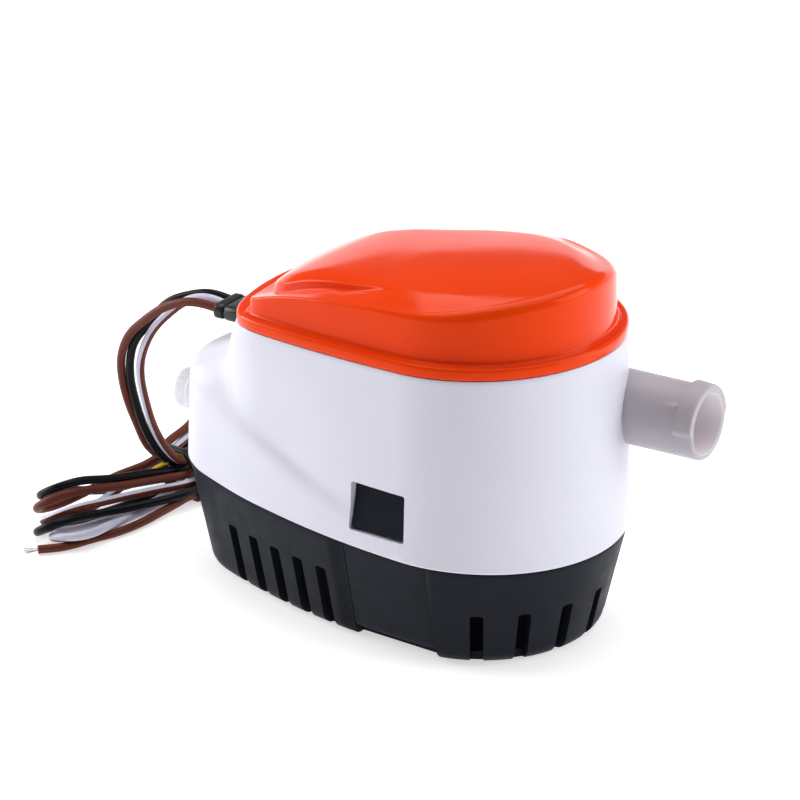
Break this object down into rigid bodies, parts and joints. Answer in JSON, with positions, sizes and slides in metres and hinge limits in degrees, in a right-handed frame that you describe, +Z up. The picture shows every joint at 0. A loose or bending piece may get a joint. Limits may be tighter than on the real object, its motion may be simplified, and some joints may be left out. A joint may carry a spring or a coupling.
{
  "type": "bilge pump",
  "caption": "Egg-shaped automatic bilge pump with a clip-on slotted strainer base, domed lid, side hose spigot, float-switch test knob and tied leads.",
  "frame": {"origin": "middle of the pump's footprint box, on the floor under the strainer base (leads left out)", "axes": "+X towards the outlet spigot's mouth, +Z up, -Y towards the side seen in the picture"},
  "size_m": [0.2037, 0.0941, 0.1038],
  "materials": {
    "lid_orange": "high gloss moulded",
    "housing_white": "satin-gloss moulded",
    "base_black": "fine matt moulded",
    "rubber": "matt",
    "steel": "plain",
    "zinc": "zinc plated",
    "copper": "turned copper",
    "ferrite": "sintered",
    "board_green": "coated laminate",
    "bush_brass": "sintered",
    "carbon": "pressed carbon",
    "float_grey": "moulded float",
    "lead_brown": "insulated lead",
    "lead_black": "insulated lead",
    "lead_striped": "two-colour insulated lead"
  },
  "bodies": {
    "base": {"strainer_base": "base_black"},
    "latch_front": {"latch_front": "base_black"},
    "latch_rear": {"latch_rear": "base_black"},
    "pump": {"housing": "housing_white", "outlet_spigot": "housing_white", "lid": "lid_orange", "lid_gasket": "rubber", "cable_gland": "base_black", "intake_plate": "housing_white", "shaft_seal": "rubber", "motor_pod": "housing_white", "pod_gasket": "rubber", "pod_screw_1": "zinc", "pod_screw_2": "zinc", "pod_screw_3": "zinc", "motor_can": "steel", "magnet_left": "ferrite", "magnet_right": "ferrite", "lower_bush": "bush_brass", "upper_bush": "bush_brass", "motor_end_cap": "base_black", "brush_front": "carbon", "brush_rear": "carbon", "float_pin": "steel", "float_bracket": "housing_white", "reed_well": "housing_white", "reed_switch": "board_green", "circuit_board": "board_green", "board_screw_1": "zinc", "board_screw_2": "zinc", "knob_seal": "rubber", "lead_brown": "lead_brown", "lead_striped": "lead_striped", "lead_black": "lead_black", "wire_hank": "lead_black", "hank_tie": "rubber"},
    "rotor": {"motor_shaft": "steel", "rotor_core": "steel", "commutator": "copper", "impeller": "base_black"},
    "float": {"float": "float_grey", "float_magnet": "ferrite"},
    "knob": {"test_knob": "housing_white", "lift_cam": "base_black"}
  },
  "joints": [
    {"name": "latch_front_press", "type": "hinge", "parent": "base", "child": "latch_front", "pos_m": [0.01089, -0.03432, 0.0045], "axis": [-0.9981, 0.062, 0], "range_deg": [0, 4], "stiffness_Nm_per_rad": 0.6},
    {"name": "latch_rear_press", "type": "hinge", "parent": "base", "child": "latch_rear", "pos_m": [0.01089, 0.03432, 0.0045], "axis": [0.9981, 0.062, 0], "range_deg": [0, 4], "stiffness_Nm_per_rad": 0.6},
    {"name": "pump_lift_off", "type": "slide", "parent": "base", "child": "pump", "axis": [0, 0, 1], "range_m": [0, 0.045]},
    {"name": "rotor_spin", "type": "hinge", "parent": "pump", "child": "rotor", "pos_m": [0.01905, 0, 0.06], "axis": [0, 0, 1], "continuous": true},
    {"name": "float_lift", "type": "hinge", "parent": "pump", "child": "float", "pos_m": [-0.02095, 0, 0.038], "axis": [0, 1, 0], "range_deg": [0, 20]},
    {"name": "test_knob_turn", "type": "hinge", "parent": "pump", "child": "knob", "pos_m": [-0.07095, 0, 0.0448], "axis": [1, 0, 0], "range_deg": [0, 90]}
  ]
}
